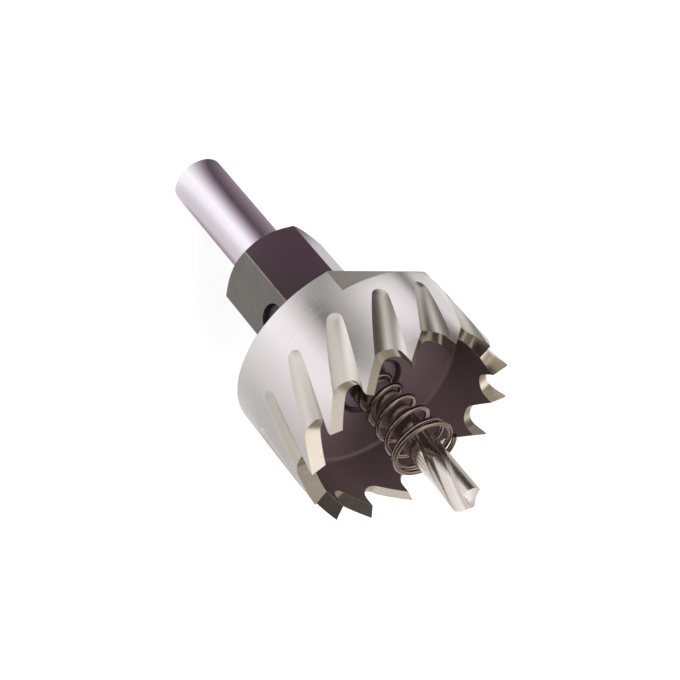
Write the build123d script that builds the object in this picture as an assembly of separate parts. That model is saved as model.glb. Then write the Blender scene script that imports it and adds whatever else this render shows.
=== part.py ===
from build123d import *
from math import acos, atan2, cos, degrees, hypot, radians, sin, sqrt, tan
import os

# Hole saw for sheet metal: a milled cup with fourteen teeth, screwed on a hexagonal arbor
# that carries a pilot drill, the set screw that holds it and the spring that ejects the slug.
# Millimetres. The tool stands on the end of its shank: the origin is the centre of that face,
# +Z runs along the axis to the tip of the drill, and the set screw faces -Y. Angles are
# degrees about +Z, and the tool cuts towards +Z rotation, seen from the shank.

# ---- arbor
shank_diameter = 10.0
shank_length = 26.3
shank_chamfer = 0.5
hex_across_flats = 17.5
hex_length = 21.3
hex_chamfer_height = 1.1
hex_edge_radius = 0.2
spigot_diameter = 12.0
spigot_chamfer = 0.8
spigot_setback = 0.5          # the spigot ends this far below the floor of the cup
thread_clearance = 0.05       # radial, between mating threads modelled as plain cylinders

# ---- cutter
cup_diameter = 40.0
cup_height = 23.6             # back face to the tips of the teeth
cup_wall = 2.8
back_thickness = 11.4
back_chamfer = 0.3
floor_fillet = 0.8
cutter_turn = 2.3             # how far the cutter is turned from the arbor when it seats

# ---- teeth, ground one gap at a time by a wheel that leans outwards
tooth_count = 14
tooth_rake = 13.3
gap_depth = 5.0
gap_radius = 2.2
gap_tilt = 14.0
gap_overrun = 0.5             # share of the back's length that the cut runs on past the tip
gap_reach = 2.5               # half the cut along the wheel's path, in wall thicknesses

# ---- helical flutes, milled with a ball cutter that sinks towards the teeth
flute_start = 9.2             # centre of the ball at the run-out, above the back face
flute_start_depth = 0.3
flute_sink = 0.077            # added depth for each millimetre of height
flute_ball_radius = 3.75
flute_twist = 1.42            # degrees for each millimetre of height
flute_offset = -10.8          # flute centre at the run-out, from the tooth's face

# ---- wrench flats on the back of the cutter
flats_across = 32.0
flats_height = 5.1
flats_angle = -8.6

# ---- pilot drill
drill_diameter = 5.5
drill_projection = 17.4       # tip beyond the teeth
drill_length = 61.0
drill_point_angle = 118.0
drill_flute_length = 14.0      # at full depth
drill_flute_pitch = 50.0
drill_wheel_radius = 12.0      # of the wheel whose lift makes the flutes run out
drill_web = 1.0
drill_flute_radius = 1.9
drill_turn = 108.0            # direction of one flute at the tip
drill_points = 14             # along the path of a flute
drill_clearance = 0.03
drill_bore_spare = 0.5        # bore left empty below the drill

# ---- set screw
screw_diameter = 6.0
screw_length = 5.0
screw_height = 7.35           # axis below the back of the cutter
screw_chamfer = 0.6
screw_socket = 3.0
screw_socket_depth = 2.2
screw_gap = 0.02              # nose to drill

# ---- ejector spring, wound wider towards the teeth
wire_diameter = 0.9
spring_base_radius = 3.35     # to the middle of the wire
spring_front_radius = 5.5
spring_base_turns = 1.0       # closed, on the spigot
spring_active_turns = 4.0
spring_front_turns = 1.7      # closed, the first of them still widening
spring_active_height = 13.4
spring_end_gap = 0.12         # between closed turns
spring_turn = 229.65          # where the active turns start
spring_lean = 0.45            # the front turns lean up by this at their highest point
spring_lean_turn = 100.0      # where that is
points_per_turn = 12

# ---- worked out
seat_z = shank_length + hex_length
tip_z = seat_z + cup_height
floor_z = seat_z + back_thickness
spigot_end_z = floor_z - spigot_setback
drill_tip_z = tip_z + drill_projection
drill_tail_z = drill_tip_z - drill_length
cup_radius = cup_diameter / 2
cavity_radius = cup_radius - cup_wall
drill_radius = drill_diameter / 2
hex_corner_radius = hex_across_flats / 2 / cos(radians(30))
tooth_pitch = 360 / tooth_count


def polar(radius, angle, height):
    """Point at a radius, an angle in degrees and a height."""
    return Vector(radius * cos(radians(angle)), radius * sin(radians(angle)), height)


def turned(points):
    """Solid of revolution about Z from its (radius, height) outline."""
    return revolve(Plane.XZ * make_face(Polyline(*points, close=True)), Axis.Z)


def bar(radius, bottom, top, chamfer_bottom=0.0, chamfer_top=0.0):
    """Turned bar from bottom to top, with an optional chamfer at either end."""
    side = [(radius, bottom + chamfer_bottom), (radius, top - chamfer_top)]
    low = [(0, bottom), (radius - chamfer_bottom, bottom)] if chamfer_bottom else [(0, bottom)]
    high = [(radius - chamfer_top, top), (0, top)] if chamfer_top else [(0, top)]
    return turned(low + side + high)


def cup_blank():
    """Turned cup: thick back with its threaded hole, thin wall, filleted floor."""
    hole_radius = spigot_diameter / 2 + thread_clearance
    cup = bar(cup_radius, seat_z, tip_z, chamfer_bottom=back_chamfer)
    cavity = Pos(0, 0, floor_z) * Cylinder(
        cavity_radius, cup_height, align=(Align.CENTER, Align.CENTER, Align.MIN)
    )
    cavity = fillet(cavity.edges().sort_by(Axis.Z)[0], floor_fillet)
    hole = bar(hole_radius, seat_z - back_chamfer, floor_z + back_chamfer)
    return cup - cavity - hole


def wrench_flats():
    """Two blocks that leave parallel flats with square shoulders on the cup's back."""
    depth = cup_radius - flats_across / 2
    block = Box(2 * depth, cup_diameter, flats_height, align=(Align.MIN, Align.CENTER, Align.MIN))
    block = Pos(flats_across / 2, 0, seat_z) * block
    return [Rot(0, 0, flats_angle + side) * block for side in (0, 180)]


def tooth_gap():
    """Prism that cuts one gap: the face of a tooth, a round gullet and the next tooth's back.

    It is drawn in the plane square to the wheel's path, from the tip of the tooth at angle 0.
    The back of the next tooth is the tangent from its own tip to the gullet.
    """
    lean = radians(gap_tilt)
    outwards = polar(cos(lean), tooth_rake, -sin(lean))
    across = polar(1, tooth_rake + 90, 0)
    plane = Plane(origin=polar(cup_radius, 0, tip_z), x_dir=across, z_dir=outwards)
    next_tip = plane.to_local_coords(polar(cup_radius, tooth_pitch, tip_z))

    middle = (gap_radius, gap_radius - gap_depth)
    reach = (next_tip.X - middle[0], next_tip.Y - middle[1])
    touch = degrees(atan2(reach[1], reach[0]) - acos(gap_radius / hypot(*reach)))
    foot = polar(gap_radius, touch, 0) + Vector(*middle)
    bottom = polar(gap_radius, (touch - 180) / 2, 0) + Vector(*middle)
    past_tip = foot + (Vector(next_tip.X, next_tip.Y) - foot) * (1 + gap_overrun)

    sides = Polyline((0, past_tip.Y), (0, middle[1]))
    gullet = ThreePointArc((0, middle[1]), bottom, foot)
    back = Polyline(foot, past_tip, (0, past_tip.Y))
    profile = plane * make_face([*sides.edges(), gullet, *back.edges()])
    return extrude(profile, amount=gap_reach * cup_wall, both=True)


def flute_centre(height):
    """Centre of the ball cutter when its middle is at this height above the back face."""
    sunk = flute_start_depth + flute_sink * (height - flute_start)
    angle = flute_offset + flute_twist * (height - flute_start)
    return polar(cup_radius + flute_ball_radius - sunk, angle, seat_z + height)


def flute_cutter():
    """Ball at the run-out, and the round groove that it cuts from there past the teeth."""
    stop = cup_height + flute_ball_radius
    heights = (flute_start, (flute_start + stop) / 2, stop)
    path = ThreePointArc(*[flute_centre(height) for height in heights])
    ring = Plane(origin=path @ 0, z_dir=path % 0) * Circle(flute_ball_radius)
    return [sweep(ring, path=path), Pos(*flute_centre(flute_start)) * Sphere(flute_ball_radius)]


def cutter():
    """Cup with its wrench flats, then every flute and every gap between teeth."""
    turn = Rot(0, 0, cutter_turn)
    body = cup_blank() - [turn * block for block in wrench_flats()]
    cutters = [*flute_cutter(), tooth_gap()]
    for index in range(tooth_count):
        place = turn * Rot(0, 0, index * tooth_pitch)
        body = body - [place * tool for tool in cutters]
    return body


def hexagon():
    """Hexagonal bar with flats square to Y, its shank end turned to a cone like a nut's."""
    outline = RegularPolygon(hex_across_flats / 2, 6, major_radius=False)
    outline = fillet(outline.vertices(), hex_edge_radius)
    prism = Pos(0, 0, shank_length) * extrude(outline, hex_length)
    face_radius = hex_across_flats / 2
    slope = hex_chamfer_height / (hex_corner_radius - face_radius)
    rim_radius = hex_corner_radius + face_radius
    cone = turned([
        (0, shank_length),
        (face_radius, shank_length),
        (rim_radius, shank_length + slope * (rim_radius - face_radius)),
        (rim_radius, seat_z),
        (0, seat_z),
    ])
    return prism & cone


def drill_bore():
    """Blind bore for the drill, open at the spigot."""
    return bar(drill_radius + drill_clearance, drill_tail_z - drill_bore_spare, floor_z)


def screw_hole():
    """Radial hole from the drill's bore out through the face at -Y."""
    radius = screw_diameter / 2 + thread_clearance
    hole = Cylinder(radius, hex_across_flats, align=(Align.CENTER, Align.CENTER, Align.MIN))
    return Pos(0, 0, seat_z - screw_height) * Rot(90, 0, 0) * hole


def arbor():
    """Shank, hexagon and threaded spigot in one piece, bored for the drill and its screw."""
    shank = bar(shank_diameter / 2, 0, shank_length, chamfer_bottom=shank_chamfer)
    spigot = bar(spigot_diameter / 2, seat_z, spigot_end_z, chamfer_top=spigot_chamfer)
    return shank + hexagon() + spigot - drill_bore() - screw_hole()


def set_screw():
    """Socket set screw whose nose rests on the drill."""
    radius = screw_diameter / 2
    socket = RegularPolygon(screw_socket / 2, 6, major_radius=False)
    body = bar(radius, 0, screw_length, screw_chamfer, screw_chamfer / 2)
    recess = Pos(0, 0, screw_length - screw_socket_depth) * extrude(socket, screw_length)
    body = body - recess
    nose = drill_radius + screw_gap
    return Pos(0, -nose, seat_z - screw_height) * Rot(90, 0, 0) * body


def drill_flute():
    """Round groove along a helix to the tip; its tail lifts clear of the drill on an arc."""
    lift = drill_radius - drill_web / 2 + drill_clearance
    tail = sqrt(2 * drill_wheel_radius * lift)
    length = tail + drill_flute_length + drill_flute_radius
    points = []
    for index in range(drill_points + 1):
        along = length * index / drill_points
        height = drill_tip_z - drill_flute_length - tail + along
        lifted = max(tail - along, 0) ** 2 / (2 * drill_wheel_radius)
        turn = drill_turn + 360 * (height - drill_tip_z) / drill_flute_pitch
        points.append(polar(drill_web / 2 + drill_flute_radius + lifted, turn, height))
    path = Spline(*points)
    return sweep(Plane(origin=path @ 0, z_dir=path % 0) * Circle(drill_flute_radius), path=path)


def pilot_drill():
    """Plain shank with a ground point and two twisted flutes."""
    point_height = drill_radius / tan(radians(drill_point_angle / 2))
    body = turned([
        (0, drill_tail_z),
        (drill_radius - shank_chamfer, drill_tail_z),
        (drill_radius, drill_tail_z + shank_chamfer),
        (drill_radius, drill_tip_z - point_height),
        (0, drill_tip_z),
    ])
    flute = drill_flute()
    return body - flute - Rot(0, 0, 180) * flute


def spring_point(turn):
    """Middle of the wire after this many turns: closed, then active, then closed and leaning."""
    active = min(max(turn - spring_base_turns, 0), spring_active_turns)
    closed_rise = (turn - active) * (wire_diameter + spring_end_gap)
    active_rise = active * spring_active_height / spring_active_turns
    widening = min(max((turn - spring_base_turns) / (spring_active_turns + 1), 0), 1)
    radius = spring_base_radius + (spring_front_radius - spring_base_radius) * widening
    angle = spring_turn + 360 * (turn - spring_base_turns)
    lean = spring_lean * widening**2 * cos(radians(angle - spring_lean_turn))
    return polar(radius, angle, spigot_end_z + wire_diameter / 2 + closed_rise + active_rise + lean)


def ejector_spring():
    """Round wire swept along the widening coil."""
    turns = spring_base_turns + spring_active_turns + spring_front_turns
    count = round(turns * points_per_turn)
    path = Spline(*[spring_point(turns * index / count) for index in range(count + 1)])
    ring = Plane(origin=path @ 0, z_dir=path % 0) * Circle(wire_diameter / 2)
    return sweep(ring, path=path, is_frenet=True)


def main():
    os.makedirs("parts", exist_ok=True)
    parts = {
        "cutter": cutter(),
        "arbor": arbor(),
        "pilot_drill": pilot_drill(),
        "pilot_set_screw": set_screw(),
        "ejector_spring": ejector_spring(),
    }
    for name, part in parts.items():
        export_step(part, os.path.join("parts", name + ".step"))
        print(name, round(part.volume, 1), part.is_valid)


main()
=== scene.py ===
"""Studio picture of a milled hole saw: finishes, light tent, floor and camera.

Metres, in the part's own frame: the tool stands on the end of its shank, +Z runs to the tip
of the drill and the set screw faces -Y. The solids come packed and are only given finishes.
"""

from math import cos, radians, sin

import bpy
import numpy as np
from mathutils import Matrix, Vector

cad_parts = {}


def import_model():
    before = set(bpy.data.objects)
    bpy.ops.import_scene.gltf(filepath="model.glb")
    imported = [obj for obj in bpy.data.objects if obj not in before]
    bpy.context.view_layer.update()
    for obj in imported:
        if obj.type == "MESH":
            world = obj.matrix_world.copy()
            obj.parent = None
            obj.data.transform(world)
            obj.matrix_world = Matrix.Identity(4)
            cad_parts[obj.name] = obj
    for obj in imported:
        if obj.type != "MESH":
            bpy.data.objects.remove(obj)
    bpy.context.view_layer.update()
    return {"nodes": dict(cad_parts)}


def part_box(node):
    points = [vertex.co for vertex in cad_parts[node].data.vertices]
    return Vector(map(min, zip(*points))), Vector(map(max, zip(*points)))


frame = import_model()

MM = 0.001

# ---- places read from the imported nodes
cutter_low, cutter_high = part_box("cutter")
_, drill_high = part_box("pilot_drill")
CUP_RADIUS = cutter_high.x
CUP_BACK_Z = cutter_low.z
DRILL_RADIUS = drill_high.x
WALL_RADIUS = 17.2                # mm, inside the cup
CAVITY_RISE = 11.25               # mm over the cup's back, just under the cavity's floor
GAP_RISE = 16.75                  # mm, under the gaps between the teeth
FLUTE_RISE = 5.45                 # mm, above the wrench flats
HEX_Z = 26.3                      # mm, where the hexagon starts
HEX_CORNER_RADIUS = 10.07         # mm, at its rounded corners
FLUTE_LEAD = 0.496                # mm round the cup for each mm of height
DRILL_LEAD = 0.35                 # the same for the drill's flutes
SCREW_CORNER_Y = 5                # mm towards -Y, past it lie only the screw face's two corners

# ---- camera
CAMERA_AZIMUTH = radians(-40.35)
CAMERA_ELEVATION = radians(32.29)
CAMERA_ROLL = radians(139.84)
CAMERA_DISTANCE = 313.37 * MM
CAMERA_AIM = Vector((0, 0, CUP_BACK_Z))
CAMERA_SHIFT_RIGHT = 0.816 * MM
CAMERA_SHIFT_UP = 0.522 * MM
LENS = 95.57                      # on a 36 mm sensor


# ---------------------------------------------------------------- shader maths
class Value:
    """A shader socket: arithmetic on it adds Math nodes to its tree."""

    def __init__(self, tree, socket):
        self.tree = tree
        self.socket = socket

    def math(self, operation, *others):
        node = self.tree.nodes.new("ShaderNodeMath")
        node.operation = operation
        for slot, item in zip(node.inputs, (self, *others)):
            plug(self.tree, slot, item)
        return Value(self.tree, node.outputs[0])

    def __add__(self, other):
        return self.math("ADD", other)

    def __sub__(self, other):
        return self.math("SUBTRACT", other)

    def __mul__(self, other):
        return self.math("MULTIPLY", other)

    def __truediv__(self, other):
        return self.math("DIVIDE", other)

    def __pow__(self, other):
        return self.math("POWER", other)

    def __neg__(self):
        return self.math("MULTIPLY", -1)

    def __rsub__(self, other):
        return (-self).math("ADD", other)

    __radd__ = __add__
    __rmul__ = __mul__

    def most(self, other):
        return self.math("MAXIMUM", other)

    def size(self):
        return self.math("ABSOLUTE")

    def step(self, low, high):
        """Smooth step from 0 at low to 1 at high."""
        node = self.tree.nodes.new("ShaderNodeMapRange")
        node.interpolation_type = "SMOOTHSTEP"
        plug(self.tree, node.inputs["Value"], self)
        node.inputs["From Min"].default_value = low
        node.inputs["From Max"].default_value = high
        return Value(self.tree, node.outputs["Result"])


def plug(tree, slot, item):
    """Puts a number, a colour or another node's output into a socket."""
    if isinstance(item, Value):
        tree.links.new(item.socket, slot)
    elif isinstance(item, (tuple, list)) and len(item) == 3 and len(slot.default_value) == 4:
        slot.default_value = (*item, 1)
    else:
        slot.default_value = item


class Finish:
    """A procedural material under construction."""

    def __init__(self, name):
        self.material = bpy.data.materials.new(name)
        self.material.use_nodes = True
        self.tree = self.material.node_tree
        self.tree.nodes.clear()
        self.coords = self.add("TexCoord")

    def add(self, kind, settings=None, **sockets):
        """Adds a node of any type: settings first, then its sockets' values or links."""
        node = self.tree.nodes.new("ShaderNode" + kind)
        for name, value in (settings or {}).items():
            setattr(node, name, value)
        for name, value in sockets.items():
            plug(self.tree, self.socket_of(node, name), value)
        return node

    def socket_of(self, node, name):
        """The enabled input whose name, with underscores for spaces, is the one given."""
        wanted = name.replace("_", " ")
        return next(s for s in node.inputs if s.name == wanted and s.enabled)

    def out(self, node, name=None):
        """An output of a node, the first that is enabled if it isn't named."""
        pick = (s for s in node.outputs if s.enabled and (name is None or s.name == name))
        return Value(self.tree, next(pick))

    def position(self):
        """Object coordinates in millimetres: x, y, z."""
        scaled = self.add("VectorMath", {"operation": "SCALE"},
                          Vector=self.out(self.coords, "Object"), Scale=1 / MM)
        parts = self.add("SeparateXYZ", Vector=self.out(scaled))
        return tuple(self.out(parts, axis) for axis in "XYZ")

    def facing(self):
        """Where the surface looks, in object space: x, y, z."""
        parts = self.add("SeparateXYZ", Vector=self.out(self.coords, "Normal"))
        return tuple(self.out(parts, axis) for axis in "XYZ")

    def noise(self, scale, detail=3.0, roughness=0.55, stretch=(1, 1, 1)):
        """Noise in Object coordinates; scale is in features per millimetre."""
        stretched = self.add("VectorMath", {"operation": "MULTIPLY"},
                             Vector=self.out(self.coords, "Object"))
        stretched.inputs[1].default_value = tuple(s / MM for s in stretch)
        node = self.add("TexNoise", Vector=self.out(stretched), Scale=scale, Detail=detail,
                        Roughness=roughness)
        return self.out(node, "Fac")

    def noise_at(self, vector, scale=1.0, detail=2.0, roughness=0.5):
        """Noise at a vector built from values."""
        node = self.add("TexNoise", Vector=vector, Scale=scale, Detail=detail,
                        Roughness=roughness)
        return self.out(node, "Fac")

    def vector(self, x, y, z):
        return self.out(self.add("CombineXYZ", X=x, Y=y, Z=z))

    def mix(self, share, first, second):
        """Colour between two, by a share from 0 to 1."""
        node = self.add("Mix", {"data_type": "RGBA"}, Factor=share, A=first, B=second)
        return self.out(node, "Result")

    def bump(self, height, depth_mm):
        """Normal from a height from 0 to 1, of this depth in millimetres."""
        node = self.add("Bump", Height=height, Distance=depth_mm * MM, Strength=1.0)
        return self.out(node)

    def shade(self, **sockets):
        """Ends the material with a Principled shader."""
        shader = self.add("BsdfPrincipled", None, **sockets)
        output = self.tree.nodes.new("ShaderNodeOutputMaterial")
        self.tree.links.new(shader.outputs[0], output.inputs["Surface"])
        return self.material


# ---------------------------------------------------------------- meshes
def grid_object(name, points, wrap=False):
    """Object from a grid of points; its second direction closes on itself if wrapped."""
    rows, columns = points.shape[:2]
    index = np.arange(rows * columns).reshape(rows, columns)
    across = np.roll(index, -1, axis=1) if wrap else index[:, 1:]
    here = index if wrap else index[:, :-1]
    quads = np.stack([here[:-1], across[:-1], across[1:], here[1:]], axis=-1).reshape(-1, 4)
    mesh = bpy.data.meshes.new(name)
    mesh.from_pydata(points.reshape(-1, 3).tolist(), [], quads.tolist())
    item = bpy.data.objects.new(name, mesh)
    bpy.context.scene.collection.objects.link(item)
    return item


# ---------------------------------------------------------------- finishes
def ground_steel():
    """Cutter: ground lands, milled flutes and flats, rough ground gaps, dark oxide inside.

    The zones follow the radius, the height over the cup's back and how far a face looks
    outwards: 1 on the lands, about 0 on the faces of the teeth, -1 on the inner wall.
    """
    finish = Finish("ground_steel")
    x, y, z = finish.position()
    radius = (x * x + y * y) ** 0.5
    rise = z - CUP_BACK_Z / MM
    facing_x, facing_y, facing_z = finish.facing()
    outward = (facing_x * x + facing_y * y) / radius

    inside = 1 - radius.step(WALL_RADIUS + 0.02, WALL_RADIUS + 0.1)
    inside = inside * rise.step(CAVITY_RISE - 0.05, CAVITY_RISE + 0.05)
    gap = (1 - outward.size().step(0.5, 0.7)) * (1 - inside)
    gap = gap * rise.step(GAP_RISE - 0.25, GAP_RISE + 0.25)
    land = radius.step(CUP_RADIUS / MM - 0.07, CUP_RADIUS / MM - 0.02) * outward.step(0.95, 0.98)
    # A yellow band along the outer edge of the teeth's faces: a painted edge highlight.
    rim_highlight = radius.step(CUP_RADIUS / MM - 0.25, CUP_RADIUS / MM - 0.05) * gap
    # The gaps' faces that look up towards the tip are darkened: painted shade in the recess between the
    # teeth.
    gullet_shade = facing_z.step(0.75, 0.97) * gap
    flute = (1 - land) * (1 - gap) * (1 - inside) * rise.step(FLUTE_RISE - 0.15, FLUTE_RISE + 0.15)

    turned_lines = finish.noise(1.0, detail=4, stretch=(0.25, 0.25, 7))
    milled_lines = finish.noise_at(
        finish.vector((y.math("ARCTAN2", x) * (CUP_RADIUS / MM) - rise * FLUTE_LEAD) * 2.2,
                      rise * 0.12, 0),
        detail=4,
    )
    grain = finish.noise(2.2, detail=3, roughness=0.7)
    stain = finish.noise(0.16, detail=3)
    lines = milled_lines + (turned_lines - milled_lines) * land

    milled = finish.mix(lines, (0.66, 0.635, 0.62), (0.78, 0.755, 0.76))
    ground = finish.mix(grain, (0.49, 0.44, 0.35), (0.68, 0.63, 0.54))
    milled = finish.mix(flute * 0.6, milled, (0.66, 0.63, 0.55))
    # Painted shade: the gullets' bottoms are darker and browner.
    ground = finish.mix(gullet_shade * 0.8, ground, (0.34, 0.29, 0.19))
    bright = finish.mix(gap, milled, ground)
    # Painted edge highlight: yellow along the outer edge of the teeth's faces.
    bright = finish.mix(rim_highlight * 0.7, bright, (0.62, 0.55, 0.30))
    oxide = finish.mix(stain * 0.7 + grain * 0.3, (0.084, 0.050, 0.054), (0.126, 0.086, 0.088))
    height = lines * 0.35 + gap * grain
    return finish.shade(
        Base_Color=finish.mix(inside, bright, oxide),
        Metallic=1 - inside,
        Roughness=lines * 0.08 + 0.12 + flute * 0.14 + gap * 0.12 + inside * 0.3,
        Normal=finish.bump(height, 0.012),
    )


def arbor_steel():
    """Arbor: satin ground shank and spigot; blackened hexagon, with a painted olive reflection on the
    screw's face.

    The two corners beside the screw's face are worn bright, with a painted highlight along their edge.
    """
    finish = Finish("arbor_steel")
    x, y, z = finish.position()
    radius = (x * x + y * y) ** 0.5
    black = z.step(HEX_Z - 0.1, HEX_Z + 0.1)
    stain = finish.noise(0.25, detail=4)
    # Wear and painted highlight: the hexagon's rounded corners beside the screw's face turn bright and
    # yellowish.
    wear_and_highlight = radius.step(HEX_CORNER_RADIUS - 0.07, HEX_CORNER_RADIUS - 0.02)
    wear_and_highlight = wear_and_highlight * stain.step(0.3, 0.45) * black * (-y).step(SCREW_CORNER_Y - 1, SCREW_CORNER_Y + 1)
    _, facing_y, _ = finish.facing()
    # The screw's face is painted a lighter olive than the other faces: a painted reflection.
    face_reflection = (-facing_y).step(0.9, 0.97)
    lines = finish.noise(1.0, detail=4, stretch=(0.25, 0.25, 8))
    ground = finish.mix(lines, (0.68, 0.66, 0.70), (0.80, 0.78, 0.82))
    purple = finish.mix(stain, (0.046, 0.022, 0.034), (0.066, 0.036, 0.050))
    olive = finish.mix(stain.step(0.35, 0.65), (0.050, 0.048, 0.024), (0.076, 0.066, 0.040))
    # Purple oxide, with the painted olive reflection on the screw's face.
    oxide = finish.mix(face_reflection, purple, olive)
    coated = finish.mix(wear_and_highlight * 0.35, oxide, (0.60, 0.54, 0.38))
    return finish.shade(
        Base_Color=finish.mix(black, ground, coated),
        Metallic=1 - black + wear_and_highlight * 0.35,
        Roughness=lines * 0.07 + 0.12 + black * 0.1,
        IOR=1.9,
        Normal=finish.bump(lines * (1 - black) + stain * black * 0.5, 0.008),
    )


def drill_steel():
    """Drill: bright ground, its lines along the twist of the flutes."""
    finish = Finish("drill_steel")
    x, y, z = finish.position()
    lines = finish.noise_at(
        finish.vector((y.math("ARCTAN2", x) * (DRILL_RADIUS / MM) - z * DRILL_LEAD) * 3,
                      z * 0.2, 0),
        detail=4,
    )
    return finish.shade(
        Base_Color=finish.mix(lines, (0.72, 0.68, 0.62), (0.94, 0.91, 0.89)),
        Metallic=1.0,
        Roughness=lines * 0.08 + 0.14,
        Normal=finish.bump(lines, 0.006),
    )


def black_steel():
    """Set screw: black oxide."""
    finish = Finish("black_steel")
    stain = finish.noise(0.8, detail=4)
    return finish.shade(
        Base_Color=finish.mix(stain, (0.036, 0.028, 0.036), (0.075, 0.064, 0.078)),
        Roughness=stain * 0.2 + 0.3,
        Normal=finish.bump(stain, 0.01),
    )


def spring_steel():
    """Spring: drawn wire with a thin brown oxide."""
    finish = Finish("spring_steel")
    stain = finish.noise(0.5, detail=4)
    return finish.shade(
        Base_Color=finish.mix(stain, (0.19, 0.14, 0.11), (0.36, 0.28, 0.24)),
        Metallic=1.0,
        Roughness=stain * 0.08 + 0.09,
        Normal=finish.bump(stain, 0.006),
    )


def dress(node, material):
    """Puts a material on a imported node."""
    for slot in frame["nodes"][node].material_slots:
        slot.material = material


dress("cutter", ground_steel())
dress("arbor", arbor_steel())
dress("pilot_drill", drill_steel())
dress("pilot_set_screw", black_steel())
dress("ejector_spring", spring_steel())


# ---------------------------------------------------------------- studio
def studio_floor():
    """Level white floor, larger than any view, that keeps the tool's soft shadow."""
    half = 3.0
    mesh = bpy.data.meshes.new("floor")
    mesh.from_pydata(
        [(-half, -half, 0), (half, -half, 0), (half, half, 0), (-half, half, 0)],
        [], [(0, 1, 2, 3)],
    )
    floor = bpy.data.objects.new("floor", mesh)
    bpy.context.scene.collection.objects.link(floor)
    finish = Finish("floor")
    path = finish.add("LightPath")
    seen = finish.out(path, "Is Camera Ray").most(finish.out(path, "Is Glossy Ray"))
    material = finish.shade(
        Base_Color=(0.8, 0.8, 0.8),
        Roughness=0.9,
        Specular_IOR_Level=0.0,
        Emission_Color=(1, 1, 1),
        Emission_Strength=seen * 0.55,
    )
    mesh.materials.append(material)


def world():
    """White surroundings, at a plain level."""
    scene_world = bpy.data.worlds.new("studio")
    bpy.context.scene.world = scene_world
    scene_world.use_nodes = True
    tree = scene_world.node_tree
    tree.nodes.clear()
    path = tree.nodes.new("ShaderNodeLightPath")
    background = tree.nodes.new("ShaderNodeBackground")
    output = tree.nodes.new("ShaderNodeOutputWorld")
    by_camera = Value(tree, path.outputs["Is Camera Ray"])
    seen = by_camera.most(Value(tree, path.outputs["Is Glossy Ray"]))
    background.inputs["Color"].default_value = (1, 1, 1, 1)
    plug(tree, background.inputs["Strength"], seen * 0.5 + 0.5)
    tree.links.new(background.outputs[0], output.inputs["Surface"])


# What the tool mirrors, as (degrees, level) stops round its axis. Degrees run from the
# camera's side towards the right of its picture. One row for each ring of the table, and one
# for the sky: the ring's outer edge, the tint of its shade, its stops.
TENT_RINGS = (
    (0.042, (1.22, 0.90, 1.05), (
        (-172, .75), (-145, .32), (-125, .42), (-100, .76), (-70, .83), (-52, .97), (-37, 1.2),
        (-10, 1.35), (7, 1.0), (22, .60), (37, .28), (52, .10), (67, .14), (97, .24), (130, .33),
        (145, .33), (160, .44), (175, .70))),
    (0.077, (1.1, 0.98, 0.85), (
        (-180, 1.4), (-100, 1.1), (-60, 1.1), (-20, 1.3), (-5, 1.1), (15, .3),
        (30, .06), (60, .06), (100, .3), (130, .8), (150, 1.5))),
    (0.094, (1.0, 1.02, 0.86), (
        (-158, .60), (-142, .75), (-127, .72), (-97, .70), (-67, .92), (-52, 1.02), (-35, 1.25),
        (-20, 1.2), (-7, .95), (6, .75), (22, .42), (37, .40), (52, .20), (67, .12), (84, .16),
        (97, .22), (112, .45), (127, .62), (142, .80), (165, .55))),
    (0.132, (0.99, 1.02, 0.95), (
        (-158, .46), (-142, .60), (-127, .60), (-97, .64), (-67, .90), (-52, 1.02), (-35, 1.18),
        (-20, 1.15), (-7, .74), (6, .14), (22, .46), (37, .78), (52, 1.1), (67, 1.25), (84, 1.0),
        (97, .27), (112, .98), (127, .88), (142, .95), (165, .55))),
    (1.4, (1.1, 0.98, 0.76), (
        (-180, .9), (-142, 1.15), (-113, .85), (-90, .70), (-60, .66), (-45, .88), (-30, 1.05),
        (-7, .86), (7, .95), (22, .80), (37, .88), (44, .75), (52, .22), (67, .05), (85, .04), (100, .12),
        (113, .55), (127, .48), (142, .52))),
    (9.0, (1.1, 0.98, 0.85), (
        (-170, .6), (-130, .6), (-112, .05), (-45, .05), (-25, .35), (8, .40), (30, .85),
        (50, 1.7), (75, 1.6), (115, 1.0), (145, .7))),
)
TENT_BLEND = 0.006                # width over which one ring turns into the next
TENT_RADIUS = 1.0
TENT_LIGHT_TINT = (1.0, 0.965, 0.995)


def tent_colour(angle, radius):
    """Colour at an angle and a distance from the axis: the rings' stops, blended.

    Each ring's level is read between its stops and tinted from its shade, where it is dark,
    to the tent's plain light, where it is 1.
    """
    colour = None
    inner = 0.0
    for outer, shade, stops in TENT_RINGS:
        degrees, levels = np.array(stops).T
        level = np.interp(angle, degrees, levels, period=360)[..., None]
        tint = np.clip(level, 0, 1)
        ring = level * (np.array(shade) * (1 - tint) + np.array(TENT_LIGHT_TINT) * tint)
        if colour is None:
            colour = ring
        else:
            share = np.clip((radius - inner) / TENT_BLEND + 0.5, 0, 1)[..., None]
            colour = colour * (1 - share) + ring * share
        inner = outer
    return colour


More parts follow.
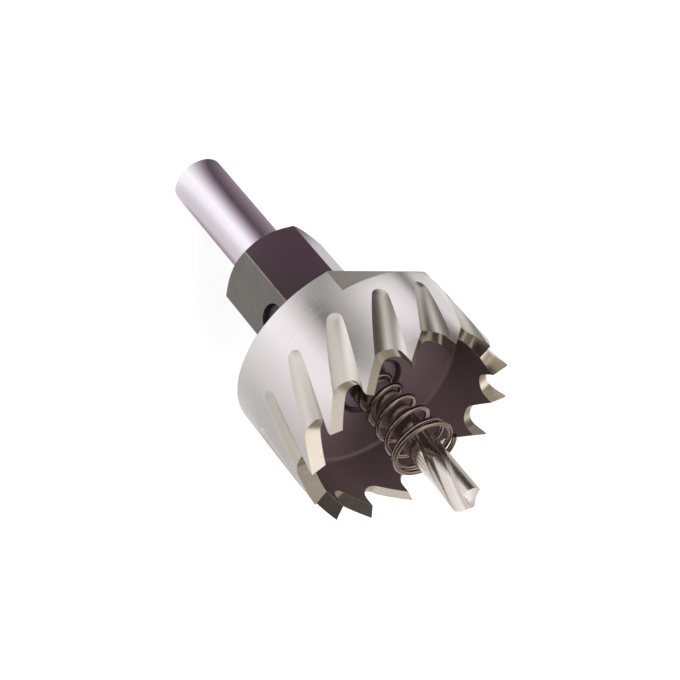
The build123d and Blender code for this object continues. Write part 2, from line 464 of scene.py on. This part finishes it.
def tent():
    """Light tent seen only in reflections: a table disc that curves up into a dome.

    The profile runs out along the table to the tent's radius, then up a circle to the top,
    and is turned about the axis. Its light is a vertex colour from tent_colour, where a point
    of the dome counts as far out as the tent's radius and its own height together.
    """
    along = np.concatenate([np.linspace(0.001, 0.3, 150), np.linspace(0.32, TENT_RADIUS, 30)])
    rise = np.radians(np.linspace(2, 90, 60))
    reach = np.concatenate([along, TENT_RADIUS * np.cos(rise)])
    height = np.concatenate([np.full(len(along), 0.0002), TENT_RADIUS * np.sin(rise)])
    turn = np.radians(np.arange(0, 360, 2))
    reach_grid, turn_grid = np.meshgrid(reach, turn, indexing="ij")
    height_grid = np.repeat(height[:, None], len(turn), axis=1)
    points = np.stack([reach_grid * np.cos(turn_grid), reach_grid * np.sin(turn_grid),
                       height_grid], axis=-1)
    towards_camera = np.degrees(CAMERA_AZIMUTH) - 90
    distance = np.where(height_grid > 0.001, TENT_RADIUS + height_grid, reach_grid)
    colour = tent_colour(towards_camera - np.degrees(turn_grid), distance)
    shell = grid_object("tent", points, wrap=True)
    layer = shell.data.color_attributes.new("glow", "FLOAT_COLOR", "POINT")
    rgba = np.concatenate([colour, np.ones_like(colour[..., :1])], axis=-1)
    layer.data.foreach_set("color", rgba.reshape(-1).astype(np.float32))
    finish = Finish("tent")
    glow = finish.add("Attribute", {"attribute_name": "glow"})
    light = finish.add("Emission", None, Color=finish.out(glow, "Color"))
    output = finish.tree.nodes.new("ShaderNodeOutputMaterial")
    finish.tree.links.new(light.outputs[0], output.inputs["Surface"])
    finish.material.cycles.emission_sampling = "NONE"
    shell.data.materials.append(finish.material)
    shell.visible_camera = False
    shell.visible_diffuse = False
    shell.visible_shadow = False
    shell.visible_transmission = False


def area_light(name, place, aim, width, height, power):
    """Soft box at a place, turned towards an aim."""
    data = bpy.data.lights.new(name, "AREA")
    data.shape = "RECTANGLE"
    data.size = width
    data.size_y = height
    data.energy = power
    lamp = bpy.data.objects.new(name, data)
    bpy.context.scene.collection.objects.link(lamp)
    lamp.location = place
    lamp.visible_glossy = False
    lamp.rotation_euler = (Vector(aim) - Vector(place)).to_track_quat("-Z", "Y").to_euler()


def camera():
    """Camera above the tool's back, rolled so that the tip points down to the right."""
    back = Vector((
        cos(CAMERA_ELEVATION) * sin(CAMERA_AZIMUTH),
        -cos(CAMERA_ELEVATION) * cos(CAMERA_AZIMUTH),
        sin(CAMERA_ELEVATION),
    ))
    level = Vector((cos(CAMERA_AZIMUTH), sin(CAMERA_AZIMUTH), 0))
    upright = back.cross(level)
    right = cos(CAMERA_ROLL) * level + sin(CAMERA_ROLL) * upright
    up = back.cross(right)
    data = bpy.data.cameras.new("camera")
    data.lens = LENS
    data.clip_start = 0.01
    holder = bpy.data.objects.new("camera", data)
    bpy.context.scene.collection.objects.link(holder)
    place = CAMERA_AIM + CAMERA_DISTANCE * back + CAMERA_SHIFT_RIGHT * right + CAMERA_SHIFT_UP * up
    turn = Matrix((right, up, back)).transposed()
    holder.matrix_world = Matrix.Translation(place) @ turn.to_4x4()
    bpy.context.scene.camera = holder


camera()
studio_floor()
world()
tent()
area_light("key_light", (-0.5, -0.3, 0.7), (0, 0, 0.05), 0.5, 0.5, 6)
bpy.context.scene.view_settings.view_transform = "Standard"
